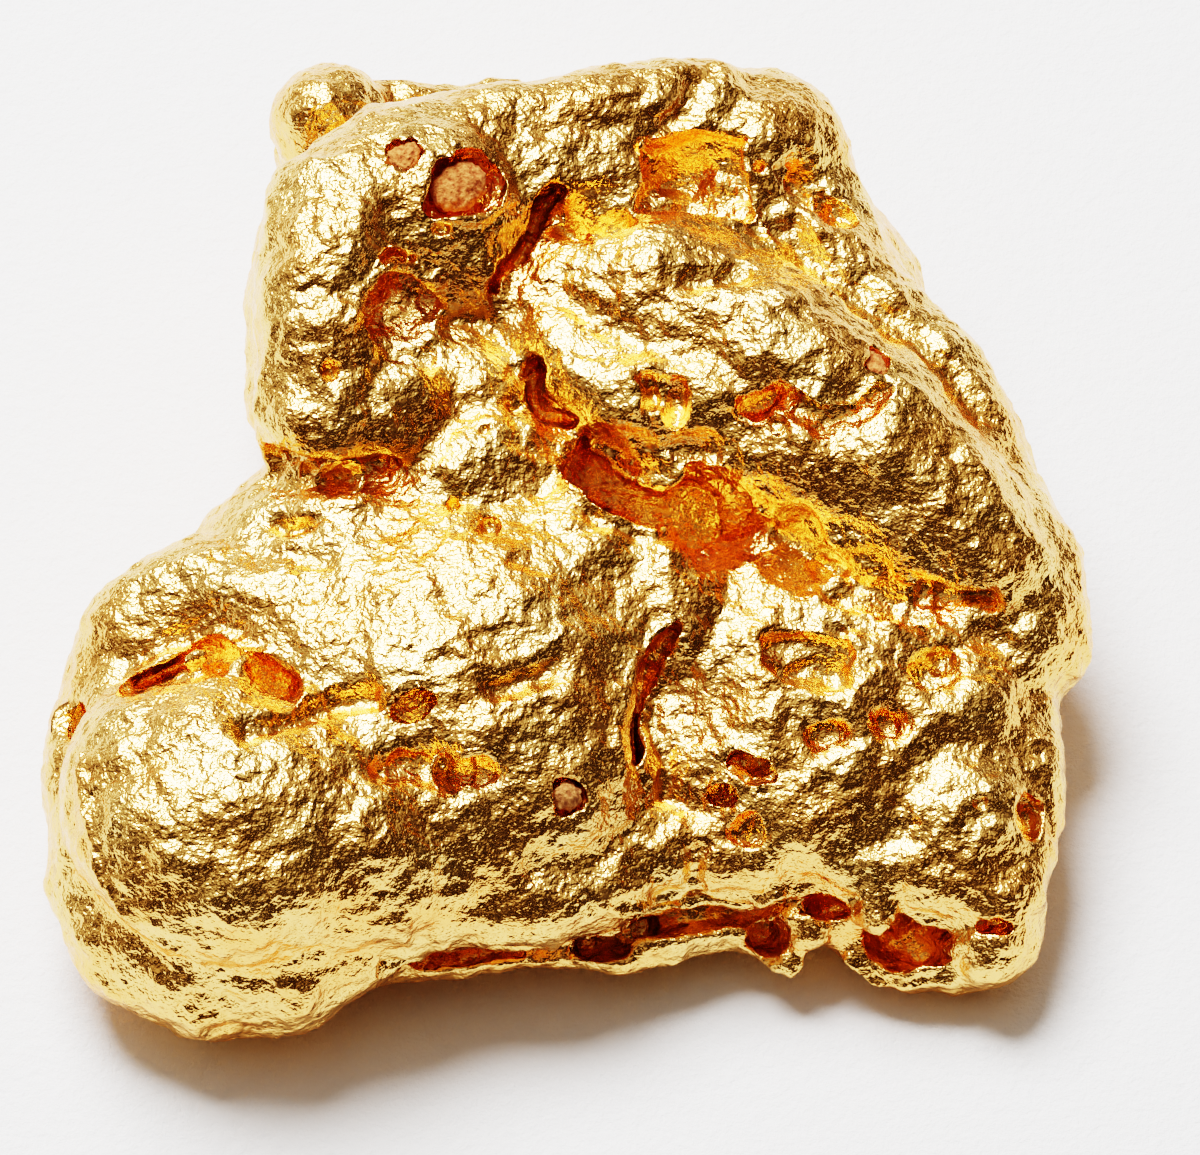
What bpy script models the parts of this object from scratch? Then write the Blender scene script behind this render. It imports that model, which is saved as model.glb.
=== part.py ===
"""A natural gold nugget, about 21 mm wide, with bits of baked clay lodged in its pits.

The nugget is one lump of native gold: a thick lobe at the front left, a rolled hood over the back
left, a slab that runs from the back to the right, a lower plate at the front right with a ragged
torn edge, and deep folds between them. It stands on worn flats of its underside.

Places are given as they show in the photograph, in millimetres: across, up and height over the
table. seen() turns them into X, Y and Z. The shapes are made in millimetres, because Blender's
remeshing and decimating suit large numbers, and are brought to metres at the end.
"""
import math

import bmesh
import bpy
import numpy as np
from mathutils import Euler, Matrix, Vector, noise
from mathutils.bvhtree import BVHTree

# Driving dimensions, in millimetres unless the name says otherwise
METRES_PER_MM = 0.001
VIEW_ELEVATION_DEG = 58.0
CENTRE_X = -0.62
CENTRE_Y = -1.28
NUGGET_TRIANGLES = 7150
SEAT_GAP = 0.03

# How often the twenty faces of a ball are divided
LUMP_FINENESS = 4
ROLL_FINENESS = 2
BIT_FINENESS = 3
PIT_FINENESS = 3

# Fineness of the skins that overlapping balls are merged into, in millimetres
CELL = 0.16
CUTTER_CELL = 0.08
SMOOTHING_ROUNDS = 5
SWELL = 0.1
BALL_SPACING = 0.35
WELD = 0.001

# Lengths that only have to be ample: how far off sight lines start, how far an opening's block
# stands over the skin, and the block under the table
VIEW_DISTANCE = 60.0
WINDOW_RISE = 2.5
TABLE_BLOCK = 60.0
PRESS_REACH = 3.0

# Unevenness of the skin: kind of noise, size of the lumps, and how far they stand out
UNEVENNESS = {
    "waver": ("SHIFT", 1.3, 0.36),
    "broad": ("SOFT", 2.2, 0.24),
    "small": ("SOFT", 0.85, 0.1),
}
NOISE_LAYERS = 2

# Unevenness of the scoops: a share of their radius, and how many times it comes and goes in them
PIT_WOBBLE = 0.45
PIT_WOBBLE_SCALE = 1.5

# Colours and finish, from the photograph
GOLD = (0.95, 0.63, 0.18, 1.0)
GOLD_ROUGHNESS = 0.28
CLAY = (0.42, 0.17, 0.06, 1.0)
BROWN = (0.4, 0.2, 0.07, 1.0)
DULL_ROUGHNESS = 0.9

# Round lumps: across, up, height of the centre, radii along X, Y and Z
LUMPS = {
    "core_left": (-4.0, -2.2, 3.3, (5.0, 5.6, 2.7)),
    "core_right": (4.0, -0.6, 2.9, (4.6, 6.2, 2.3)),
    "core_back": (0.4, 5.2, 3.9, (5.2, 4.4, 3.2)),
    "body_dome": (-2.8, -1.3, 4.4, (3.9, 4.1, 2.0)),
    "body_shoulder": (-5.0, 0.1, 3.7, (3.0, 2.4, 2.4)),
    "body_neck": (-2.9, 3.0, 4.2, (2.4, 2.8, 2.35)),
    "body_left_of_neck": (-4.3, 3.3, 5.2, (1.7, 2.3, 2.0)),
    "neck_front": (-2.6, 1.6, 4.2, (2.6, 2.4, 2.2)),
    "hood_inside": (-4.4, 5.2, 5.4, (1.6, 2.0, 2.3)),
    "body_right": (-0.4, 0.1, 4.1, (1.7, 2.6, 2.0)),
    "body_to_plate": (1.2, -0.6, 4.1, (1.7, 2.0, 1.6)),
    "plate_by_body": (2.6, -1.2, 3.4, (1.8, 2.0, 1.6)),
    "lobe_dome": (-7.2, -4.4, 4.2, (3.4, 3.5, 2.1)),
    "lobe_front": (-5.6, -5.6, 3.3, (3.2, 2.2, 2.5)),
    "body_front": (-1.8, -4.0, 3.4, (2.9, 2.4, 2.2)),
    "hood_face": (-3.65, 7.15, 6.5, (2.25, 2.1, 2.15)),
    "hood_prong": (-2.6, 6.1, 6.5, (0.8, 1.0, 1.2)),
    "ridge_front": (-0.2, 7.4, 5.5, (1.6, 1.4, 1.9)),
    "plate_back": (4.6, -1.7, 2.6, (3.9, 2.6, 1.9)),
    "plate_left": (2.2, -2.6, 2.6, (1.6, 2.4, 1.9)),
    "plate_front": (4.6, -4.2, 2.2, (3.7, 2.2, 1.9)),
    "plate_corner": (7.0, -4.9, 2.2, (1.9, 2.0, 1.8)),
    "plate_right": (6.6, -2.6, 2.5, (2.2, 2.8, 2.0)),
    "knob_behind_hood": (-5.45, 9.15, 4.8, (1.1, 1.05, 1.1)),
    "back_flank_left": (-3.6, 5.4, 3.2, (3.4, 3.6, 2.9)),
    "back_flank_right": (3.4, 4.6, 3.0, (3.2, 4.0, 2.7)),
    "dome_back_right": (3.1, 8.1, 5.2, (1.9, 1.9, 1.9)),
    "foot_front_left": (-7.8, -6.2, 1.1, (1.6, 1.6, 1.6)),
    "foot_back_left": (-3.8, 3.9, 1.2, (1.8, 1.6, 1.7)),
    "foot_back_right": (3.4, 3.4, 1.2, (1.6, 1.8, 1.7)),
    "foot_front_right": (7.0, -3.6, 0.9, (1.4, 1.4, 1.4)),
    "foot_middle": (-0.4, -1.2, 1.4, (2.4, 2.0, 1.9)),
}

# Rolls: each point is across, up, height and radius
ROLLS = {
    "hood": [
        (-5.5, 2.95, 6.0, 1.4), (-5.5, 4.7, 6.7, 1.4), (-5.3, 6.2, 7.1, 1.5), (-5.0, 7.0, 7.05, 1.75),
        (-4.1, 8.15, 7.1, 1.35),
    ],
    "ridge_crest": [
        (-4.2, 8.4, 7.3, 1.1), (-3.0, 8.65, 7.2, 0.95), (-1.5, 8.95, 7.1, 0.95), (0.0, 9.15, 7.0, 0.95),
        (1.3, 9.45, 6.8, 0.95), (2.3, 9.3, 6.4, 0.95),
    ],
    "ridge_slope": [
        (-3.1, 7.6, 6.4, 1.5), (-1.2, 7.85, 6.35, 1.5), (0.2, 8.05, 6.1, 1.5), (1.4, 8.4, 5.8, 1.6),
    ],
    "slab_crest": [
        (-0.4, 5.6, 5.6, 1.65), (1.2, 5.3, 5.9, 1.9), (3.2, 4.3, 5.7, 2.0), (5.0, 2.9, 5.1, 2.05),
        (6.5, 1.3, 4.5, 1.9), (7.5, 0.1, 4.0, 1.6),
    ],
    "slab_face": [
        (-0.7, 4.4, 5.8, 1.2), (0.6, 3.5, 6.0, 1.15), (2.2, 3.4, 5.9, 1.3), (3.9, 2.6, 5.6, 1.3),
        (5.3, 1.7, 5.1, 1.2), (6.7, 0.6, 4.6, 0.95),
    ],
    "slab_tongue": [(0.7, 3.2, 5.8, 0.8), (1.3, 2.35, 5.7, 0.5)],
    "body_nub": [(-1.9, 2.7, 5.2, 0.8), (-1.1, 2.6, 5.5, 0.5), (-0.75, 2.5, 5.5, 0.4)],
    "right_flank": [
        (3.6, 7.4, 5.0, 1.6), (4.8, 5.1, 4.6, 1.6), (6.0, 3.8, 4.3, 1.65), (6.8, 2.6, 4.0, 1.7),
        (7.1, 1.6, 3.7, 1.6), (8.2, 0.1, 3.4, 1.4), (8.15, -1.0, 3.1, 1.6), (7.9, -1.7, 2.8, 1.4),
    ],
    "right_edge": [
        (8.1, -2.9, 2.7, 1.0), (8.3, -4.3, 2.4, 0.9), (8.15, -5.2, 2.2, 0.9), (7.95, -6.3, 2.0, 0.9),
        (7.75, -7.2, 1.6, 0.9),
    ],
    "lobe_rim": [
        (-4.4, -6.7, 2.7, 1.2), (-6.2, -7.35, 2.2, 1.6), (-7.8, -7.4, 1.95, 1.75), (-9.0, -6.7, 2.1, 1.7),
        (-9.35, -5.1, 2.5, 1.7), (-9.35, -3.6, 2.8, 1.7), (-8.85, -2.1, 3.0, 1.75), (-7.9, -0.95, 3.2, 1.75),
        (-6.7, -0.5, 3.4, 1.45),
    ],
    "fold_brow": [
        (-9.0, -1.2, 3.9, 1.2), (-7.8, -0.3, 4.4, 1.2), (-6.3, -0.9, 4.8, 1.2), (-5.0, -1.8, 4.9, 1.2),
    ],
    "body_front_edge": [
        (-5.0, -6.5, 2.9, 1.1), (-3.0, -6.35, 2.9, 1.0), (-1.0, -6.3, 2.8, 1.0), (0.2, -5.9, 2.7, 1.0),
    ],
    "body_right_edge": [
        (0.75, 0.3, 5.0, 0.75), (0.35, -1.2, 4.9, 0.75), (-0.1, -2.6, 4.7, 0.75), (0.0, -3.9, 4.2, 0.8),
    ],
    "plate_front_edge": [
        (0.6, -5.3, 2.9, 0.9), (2.2, -5.4, 2.8, 0.85), (3.8, -5.2, 2.7, 0.85), (5.4, -5.6, 2.6, 0.85),
        (7.0, -5.9, 2.5, 0.9), (8.0, -6.2, 2.3, 0.8),
    ],
    "plate_tooth": [(5.2, -5.9, 2.6, 0.6), (5.5, -6.7, 2.4, 0.35)],
    "torn_layer_left": [
        (-4.6, -7.4, 1.6, 0.6), (-3.0, -7.4, 1.6, 0.5), (-1.2, -7.15, 1.5, 0.5), (0.4, -7.3, 1.4, 0.5),
        (1.4, -7.15, 1.4, 0.5), (2.4, -6.8, 1.3, 0.5), (3.3, -6.9, 1.2, 0.55), (4.2, -6.7, 1.2, 0.5),
    ],
    "torn_layer_right": [(5.4, -7.3, 1.0, 0.6), (6.3, -7.6, 0.9, 0.65), (7.4, -7.4, 1.1, 0.8)],
    "behind_torn_layer": [
        (-4.0, -6.5, 1.9, 0.9), (0.4, -6.3, 1.7, 0.9), (3.5, -6.0, 1.6, 1.0), (6.2, -6.7, 1.4, 1.0),
    ],
    "tooth": [(3.2, -6.9, 1.3, 0.5), (3.8, -7.6, 1.1, 0.3)],
    "twisted_lobe": [(3.8, -6.2, 2.1, 0.45), (4.2, -7.0, 1.7, 0.35)],
    "flange_behind_hood": [(-4.6, 9.35, 4.4, 0.5), (-3.2, 9.35, 4.4, 0.5), (-1.8, 9.5, 4.4, 0.45)],
    "left_skirt": [(-5.2, 3.7, 2.7, 1.9), (-5.1, 5.4, 2.8, 2.0), (-4.7, 6.8, 3.0, 2.1)],
    "back_skirt": [(-4.5, 7.0, 3.2, 2.2), (-1.8, 7.0, 2.8, 2.2), (1.0, 7.0, 2.7, 2.2), (3.4, 6.2, 2.6, 2.1)],
    "under_knob": [(-5.3, 8.4, 3.4, 1.1), (-4.4, 8.0, 3.0, 1.6)],
}

# Hollows, cut out: each point is across, up, height and radius
HOLLOWS = {
    "big_cavity": [(0.6, 2.1, 4.5, 0.75), (1.5, 1.8, 4.2, 0.95), (2.5, 1.5, 4.3, 0.85)],
}

# Scoops, balls sunk in the skin: across, up, half width, half height, turn, depth, and how far the
# bottom leans in under the upper edge, both in degrees
SCOOPS = [
    (0.4, 1.75, 1.1, 0.42, -35, 2.0, 35), (2.2, 1.15, 1.2, 0.65, -25, 1.5, 25),
    (3.6, 0.65, 1.4, 0.75, -28, 0.9, 15), (5.1, -0.05, 1.2, 0.6, -30, 0.6, 0),
    (6.1, -0.55, 0.7, 0.35, -25, 0.4, 0), (-4.0, 5.5, 1.25, 0.75, 0, 1.1, 35),
    (-3.7, 4.7, 1.0, 0.7, 0, 0.45, 0), (-8.3, -1.8, 1.2, 0.25, 20, 0.8, 25),
    (-6.6, -1.95, 0.65, 0.3, -25, 0.9, 25), (1.9, 7.85, 1.4, 0.85, 10, 1.0, 10),
    (1.15, 7.75, 0.25, 0.35, -10, 1.2, 0), (3.3, -7.15, 0.5, 0.4, -30, 1.0, 15),
    (6.0, -7.3, 0.95, 0.6, -15, 1.4, 30), (8.55, -4.7, 0.3, 0.5, 0, 0.7, 0),
    (-2.7, -7.55, 1.6, 0.2, 3, 0.9, 15), (0.1, -7.4, 0.6, 0.22, 0, 0.9, 20),
    (2.0, -6.85, 1.6, 0.26, 9, 1.0, 20),
    (4.5, -6.6, 0.4, 0.22, -20, 0.9, 20), (7.7, -6.95, 0.5, 0.14, 0, 0.7, 10),
    (4.2, -1.6, 1.0, 0.6, -15, 0.5, 0),
    (6.7, -1.75, 0.6, 0.45, 20, 0.5, 0), (2.95, -3.8, 0.48, 0.24, -25, 0.9, 15),
    (2.9, -5.0, 0.4, 0.35, 0, 0.4, 0), (1.4, 3.6, 0.35, 0.55, 10, 0.5, 0),
]

# Openings cut straight in as seen from the front: depth under the skin, then the outline
WINDOWS = {
    "cavity_mouth": (1.7, [
        (-0.75, 2.1), (-0.7, 1.8), (-0.3, 1.6), (0.2, 1.3), (0.7, 1.05), (0.95, 0.9), (1.3, 1.0),
        (1.5, 0.65), (1.9, 0.5), (2.4, 0.8), (2.5, 1.5), (2.1, 1.95), (1.7, 2.05), (1.6, 1.85), (1.3, 1.7),
        (0.9, 1.85), (0.5, 2.05), (0.15, 2.35), (-0.1, 2.5), (-0.3, 3.0), (-0.45, 2.6),
    ]),
    "cavity_top": (1.4, [
        (-1.6, 4.2), (-1.35, 4.45), (-1.05, 4.25), (-1.0, 3.95), (-1.15, 3.6), (-1.05, 3.35), (-0.8, 3.28),
        (-0.4, 3.2), (-0.5, 3.0), (-1.2, 3.05), (-1.45, 3.35), (-1.5, 3.75),
    ]),
    "hooked_gap": (1.2, [
        (-0.6, 7.85), (-1.15, 7.5), (-1.45, 7.05), (-1.6, 6.65), (-1.95, 6.25), (-2.15, 5.9), (-2.1, 5.3),
        (-1.95, 5.25), (-1.93, 5.85), (-1.7, 6.15), (-1.38, 6.55), (-1.25, 6.95), (-1.0, 7.3), (-0.6, 7.6),
    ]),
    "fold_cavity": (0.8, [
        (-9.55, -2.35), (-9.2, -2.0), (-8.6, -1.7), (-8.1, -1.5), (-7.85, -1.2), (-7.5, -1.2), (-7.0, -1.5),
        (-6.4, -1.75), (-5.95, -2.0), (-6.0, -2.35), (-6.4, -2.4), (-6.75, -2.15), (-7.0, -1.75),
        (-7.5, -1.9), (-8.0, -1.7), (-8.7, -2.05),
    ]),
    "valley_crack": (0.9, [
        (1.75, -0.8), (1.35, -1.05), (0.95, -1.55), (0.7, -2.2), (0.52, -3.0), (0.58, -3.7), (0.9, -4.3),
        (0.95, -4.1), (0.76, -3.6), (0.74, -3.0), (0.88, -2.4), (1.12, -1.85), (1.55, -1.3),
    ]),
    "slab_slot": (0.7, [
        (2.72, 3.35), (2.8, 3.6), (3.2, 3.74), (3.65, 3.74), (3.6, 3.55), (3.35, 3.42), (3.3, 3.2),
        (3.0, 3.15),
    ]),
}

# Presses, sunk into the skin as seen from the front: width, depth, then points across and up
PRESSES = {
    "shelf_under_hood": (0.3, 0.5, [(-6.9, 2.2), (-6.0, 2.1), (-5.0, 2.05), (-4.2, 2.1)]),
    "ridge_fold": (0.3, 0.2, [(1.8, 9.9), (1.6, 9.2), (0.9, 8.4)]),
    "ridge_and_slab": (0.3, 0.6, [(-0.9, 7.2), (-0.2, 6.95), (0.5, 7.15)]),
    "right_flank_groove": (0.35, 0.25, [(3.3, 7.2), (4.5, 6.1), (6.4, 4.8), (7.6, 3.3)]),
    "back_pit": (0.4, 0.6, [(4.0, 8.0), (4.6, 7.4)]),
    "slab_crease": (0.25, 0.35, [(3.6, 3.6), (4.4, 3.15), (5.0, 3.3), (5.5, 3.65)]),
    "slab_top_crease": (0.25, 0.3, [(1.7, 6.0), (2.8, 6.1)]),
    "slab_shoulder_dish": (0.8, 0.3, [(2.2, 2.5), (3.0, 2.7)]),
    "body_crease": (0.25, 0.4, [(-6.9, -2.95), (-5.6, -2.55), (-4.5, -2.35)]),
    "body_deep_pit": (0.38, 0.8, [(-3.75, -2.55), (-3.55, -2.5)]),
    "body_right_crease": (0.25, 0.3, [(-2.1, -2.1), (-1.0, -1.8)]),
    "body_slots": (0.3, 0.45, [(-4.2, -3.7), (-3.2, -3.75), (-2.2, -3.85)]),
    "body_left_slot": (0.2, 0.35, [(-6.3, 1.05), (-5.7, 1.0)]),
    "lobe_pit": (0.35, 0.5, [(-10.4, -2.8), (-10.45, -3.0)]),
    "plate_black_pit": (0.3, 0.6, [(2.25, -4.3), (2.5, -4.25)]),
    "plate_slant_pit": (0.25, 0.4, [(4.3, -3.1), (4.7, -3.0)]),
    "plate_small_pit": (0.3, 0.4, [(5.6, -2.8), (5.8, -2.8)]),
    "slot_under_slab": (0.22, 0.6, [(6.3, -0.35), (7.0, -0.45), (7.7, -0.55)]),
    "down_the_front": (0.25, 0.25, [(1.85, -5.4), (1.8, -6.1)]),
    "under_plate_lip": (0.16, 0.3, [
        (-4.2, -7.75), (-2.0, -7.35), (-0.4, -7.35), (0.4, -7.1), (1.8, -6.5), (3.6, -6.5), (4.9, -6.5),
    ]),
}

# Bits of clay: across, up, radii of the seat along the skin and into it, how deep the seat's middle
# lies under the skin, and how deep the bit's middle does; the bit is smaller than its seat all round
CLAY_BITS = {
    "clay_in_upper_pit": (-2.7, 7.8, (0.85, 0.72, 0.5), 0.2, 0.41),
    "clay_on_crown": (-3.9, 8.4, (0.36, 0.42, 0.2), 0.1, 0.13),
    "clay_on_slab": (5.5, 4.3, (0.4, 0.3, 0.2), 0.1, 0.13),
    "brown_grain": (-0.65, -4.35, (0.42, 0.4, 0.3), 0.1, 0.16),
}


def seen(across, up, height):
    """The place of what shows at (across, up) in the photograph and lies that high over the table."""
    tilt = math.radians(VIEW_ELEVATION_DEG)
    depth = (up - height * math.cos(tilt)) / math.sin(tilt)
    return Vector((across - CENTRE_X, depth - CENTRE_Y, height))


def view_direction():
    """The way that the photograph looks: away from the viewer and down."""
    tilt = math.radians(VIEW_ELEVATION_DEG)
    return Vector((0.0, math.cos(tilt), -math.sin(tilt)))


def clear_scene():
    """Takes away what the file opened with."""
    for old in list(bpy.data.objects):
        bpy.data.objects.remove(old)


def add_object(name, bm, collection):
    """Puts the shape in bm in the scene as an object."""
    mesh = bpy.data.meshes.new(name)
    bm.to_mesh(mesh)
    bm.free()
    made = bpy.data.objects.new(name, mesh)
    collection.objects.link(made)
    return made


def add_rolls(shapes, bm):
    """Adds each roll to bm as a row of balls close enough to merge into one tapered tube."""
    for points in shapes.values():
        for first, last in zip(points, points[1:]):
            start, end = seen(*first[:3]), seen(*last[:3])
            steps = max(2, math.ceil((end - start).length / (BALL_SPACING * min(first[3], last[3]))))
            for step in range(steps + 1):
                share = step / steps
                radius = first[3] + (last[3] - first[3]) * share
                place = Matrix.Translation(start.lerp(end, share))
                bmesh.ops.create_icosphere(bm, subdivisions=ROLL_FINENESS, radius=radius, matrix=place)


def add_lumps(shapes, bm):
    """Adds each round lump to bm as a stretched ball."""
    for across, up, height, radii in shapes.values():
        place = Matrix.LocRotScale(seen(across, up, height), Euler(), radii)
        bmesh.ops.create_icosphere(bm, subdivisions=LUMP_FINENESS, radius=1.0, matrix=place)


def flat_block(name, outline, thickness):
    """The mesh of a flat block with that outline, its mid-plane at Z = 0."""
    curve = bpy.data.curves.new(name, "CURVE")
    curve.dimensions = "2D"
    curve.fill_mode = "BOTH"
    curve.extrude = thickness / 2
    spline = curve.splines.new("POLY")
    spline.points.add(len(outline) - 1)
    for point, (x, y) in zip(spline.points, outline):
        point.co = (x, y, 0.0, 1.0)
    spline.use_cyclic_u = True
    guide = bpy.data.objects.new(name, curve)
    bpy.context.scene.collection.objects.link(guide)
    graph = bpy.context.evaluated_depsgraph_get()
    mesh = bpy.data.meshes.new_from_object(guide.evaluated_get(graph))
    bpy.data.objects.remove(guide)
    return mesh


def add_windows(windows, tree, bm):
    """Adds a block to bm for each outline, running in from above the skin as the photograph looks."""
    turn = Matrix.Rotation(math.radians(90.0 - VIEW_ELEVATION_DEG), 4, "X")
    look = view_direction()
    for name, (depth, outline) in windows.items():
        skin = [seen_on_skin(tree, across, up) for across, up in outline]
        far = max(place.dot(look) for place in skin) + depth
        near = min(place.dot(look) for place in skin) - WINDOW_RISE
        mesh = flat_block(name, outline, far - near)
        middle = seen(0.0, 0.0, 0.0)
        middle += look * ((far + near) / 2 - middle.dot(look))
        mesh.transform(Matrix.Translation(middle) @ turn)
        bm.from_mesh(mesh)
        bpy.data.meshes.remove(mesh)
    bmesh.ops.remove_doubles(bm, verts=bm.verts, dist=WELD)


def add_pits(pits, tree, bm):
    """Adds a lumpy ball to bm for each pit, sunk into the skin where the photograph shows it."""
    upright = Matrix.Rotation(math.radians(90.0 - VIEW_ELEVATION_DEG), 4, "X")
    for across, up, half_width, half_height, turn, depth, lean in pits:
        place = seen_on_skin(tree, across, up)
        turned = upright @ Matrix.Rotation(math.radians(lean), 4, "X")
        turned = turned @ Matrix.Rotation(math.radians(turn), 4, "Z")
        size = Matrix.Diagonal((half_width, half_height, depth, 1.0))
        ball = bmesh.ops.create_icosphere(bm, subdivisions=PIT_FINENESS, radius=1.0)["verts"]
        for vert in ball:
            vert.co *= 1.0 + PIT_WOBBLE * noise.noise(vert.co * PIT_WOBBLE_SCALE + place)
        bmesh.ops.transform(bm, verts=ball, matrix=Matrix.Translation(place) @ turned @ size)


def evaluated(made):
    """Gives an object the mesh that its modifiers make."""
    graph = bpy.context.evaluated_depsgraph_get()
    graph.update()
    mesh = bpy.data.meshes.new_from_object(made.evaluated_get(graph))
    made.modifiers.clear()
    old, made.data = made.data, mesh
    bpy.data.meshes.remove(old)


def merge_skin(made, cell):
    """Turns everything in the object into one even skin."""
    remesh = made.modifiers.new("skin", "REMESH")
    remesh.mode = "VOXEL"
    remesh.voxel_size = cell
    evaluated(made)


def soften(made, rounds, swell):
    """Rounds the skin off, then swells it by as much as that took away."""
    smooth = made.modifiers.new("soften", "SMOOTH")
    smooth.iterations = rounds
    grow = made.modifiers.new("swell", "DISPLACE")
    grow.strength = swell
    grow.mid_level = 0.0
    evaluated(made)


def skin_tree(made):
    """A search tree of the object's skin, for finding what a line of sight meets."""
    skin = bmesh.new()
    skin.from_mesh(made.data)
    tree = BVHTree.FromBMesh(skin)
    skin.free()
    return tree


def seen_on_skin(tree, across, up):
    """The place on the skin that shows at (across, up) in the photograph."""
    start = seen(across, up, 0.0) - view_direction() * VIEW_DISTANCE
    return tree.ray_cast(start, view_direction())[0]


def line_on_skin(tree, points, spacing):
    """Points close together where a line drawn on the photograph falls on the skin.

    A line may run off the edge of the object, and has no point there.
    """
    found = []
    for first, last in zip(points, points[1:]):
        steps = max(1, math.ceil(math.dist(first, last) / spacing))
        for step in range(steps + 1):
            share = step / steps
            across = first[0] + (last[0] - first[0]) * share
            up = first[1] + (last[1] - first[1]) * share
            place = seen_on_skin(tree, across, up)
            if place is not None:
                found.append(place)
    return np.array(found)


def vertex_values(mesh, name):
    """A three-number value of every vertex, as rows."""
    values = np.empty(len(mesh.vertices) * 3, np.float32)
    mesh.vertices.foreach_get(name, values)
    return values.reshape(-1, 3)


def press_lines(made, presses):
    """Sinks every line of presses into the skin, deepest along the line."""
    tree = skin_tree(made)
    places = vertex_values(made.data, "co")
    normals = vertex_values(made.data, "normal")
    sink = np.zeros(len(places), np.float32)
    for width, depth, points in presses.values():
        line = line_on_skin(tree, points, width / 2)
        low = line.min(axis=0) - PRESS_REACH * width
        high = line.max(axis=0) + PRESS_REACH * width
        near = np.nonzero(np.all((places > low) & (places < high), axis=1))[0]
        gaps = np.linalg.norm(places[near][:, None] - line[None], axis=2).min(axis=1)
        sink[near] = np.maximum(sink[near], depth * np.exp(-((gaps / width) ** 2)))
    places -= normals * sink[:, None]
    made.data.vertices.foreach_set("co", places.ravel())
    made.data.update()


def cut_out(made, cutter, solver="EXACT"):
    """Takes the cutter's shape out of an object.

    The exact solver loses most of the nugget when the cutter is as dense as the joined hollows.
    """
    cut = made.modifiers.new("cut", "BOOLEAN")
    cut.operation = "DIFFERENCE"
    cut.solver = solver
    cut.object = cutter
    evaluated(made)
    bpy.data.objects.remove(cutter)


def roughen(made, layers):
    """Gives the skin its unevenness, one layer after another.

    A layer of the kind SHIFT moves the skin sideways as well, so that edges run unevenly.
    """
    for name, (kind, size, strength) in layers.items():
        texture = bpy.data.textures.new(name, "CLOUDS")
        texture.noise_scale = size
        texture.noise_depth = NOISE_LAYERS
        displace = made.modifiers.new(name, "DISPLACE")
        displace.texture = texture
        displace.strength = strength
        if kind == "SHIFT":
            texture.cloud_type = "COLOR"
            displace.direction = "RGB_TO_XYZ"
    evaluated(made)


def thin_out(made, wanted):
    """Brings the object down to about the wanted number of triangles."""
    mesh = made.data
    triangles = sum(len(face.vertices) - 2 for face in mesh.polygons)
    decimate = made.modifiers.new("thin out", "DECIMATE")
    decimate.ratio = wanted / triangles
    evaluated(made)


def stand_flat(made, collection):
    """Cuts the underside off level with the table, which leaves the worn flats it stands on."""
    block = bmesh.new()
    place = Matrix.Translation((0, 0, -TABLE_BLOCK / 2))
    bmesh.ops.create_cube(block, size=TABLE_BLOCK, matrix=place)
    cut_out(made, add_object("table_block", block, collection))


def ball_object(name, matrix, collection):
    """A ball of radius 1 put through the matrix, as an object."""
    ball = bmesh.new()
    bmesh.ops.create_icosphere(ball, subdivisions=BIT_FINENESS, radius=1.0, matrix=matrix)
    return add_object(name, ball, collection)


def seat_clay(nugget, collection):
    """Sinks a seat for each bit of clay in the nugget, and lays the bit in it."""
    tree = skin_tree(nugget)
    for name, (across, up, radii, seat_depth, bit_depth) in CLAY_BITS.items():
        start = seen(across, up, 0.0) - view_direction() * VIEW_DISTANCE
        place, normal = tree.ray_cast(start, view_direction())[:2]
        turn = normal.to_track_quat("Z", "Y")
        smaller = SEAT_GAP + bit_depth - seat_depth
        bit_radii = [radius - smaller for radius in radii]
        seat = Matrix.LocRotScale(place - normal * seat_depth, turn, radii)
        bit = Matrix.LocRotScale(place - normal * bit_depth, turn, bit_radii)
        cut_out(nugget, ball_object("seat", seat, collection))
        ball_object(name, bit, collection)


def give_finish(made, name, colour, roughness, metallic):
    """Gives the object a material of one colour."""
    material = bpy.data.materials.new(name)
    material.use_nodes = True
    shader = material.node_tree.nodes["Principled BSDF"]
    shader.inputs["Base Color"].default_value = colour
    shader.inputs["Roughness"].default_value = roughness
    shader.inputs["Metallic"].default_value = metallic
    made.data.materials.append(material)


def main():
    clear_scene()
    collection = bpy.data.collections.new("gold_nugget")
    bpy.context.scene.collection.children.link(collection)

    solid = bmesh.new()
    add_lumps(LUMPS, solid)
    add_rolls(ROLLS, solid)
    nugget = add_object("nugget", solid, collection)
    merge_skin(nugget, CELL)
    soften(nugget, SMOOTHING_ROUNDS, SWELL)

    space = bmesh.new()
    add_rolls(HOLLOWS, space)
    whole = skin_tree(nugget)
    add_windows(WINDOWS, whole, space)
    add_pits(SCOOPS, whole, space)
    hollows = add_object("hollows", space, collection)
    merge_skin(hollows, CUTTER_CELL)
    cut_out(nugget, hollows, "MANIFOLD")

    merge_skin(nugget, CELL)
    press_lines(nugget, PRESSES)
    roughen(nugget, UNEVENNESS)
    thin_out(nugget, NUGGET_TRIANGLES)
    stand_flat(nugget, collection)
    seat_clay(nugget, collection)

    give_finish(nugget, "gold", GOLD, GOLD_ROUGHNESS, 1.0)
    for name in CLAY_BITS:
        colour = BROWN if name == "brown_grain" else CLAY
        give_finish(bpy.data.objects[name], name, colour, DULL_ROUGHNESS, 0.0)
    for made in collection.objects:
        made.data.transform(Matrix.Scale(METRES_PER_MM, 4))
        made.data.shade_smooth()


main()
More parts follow.
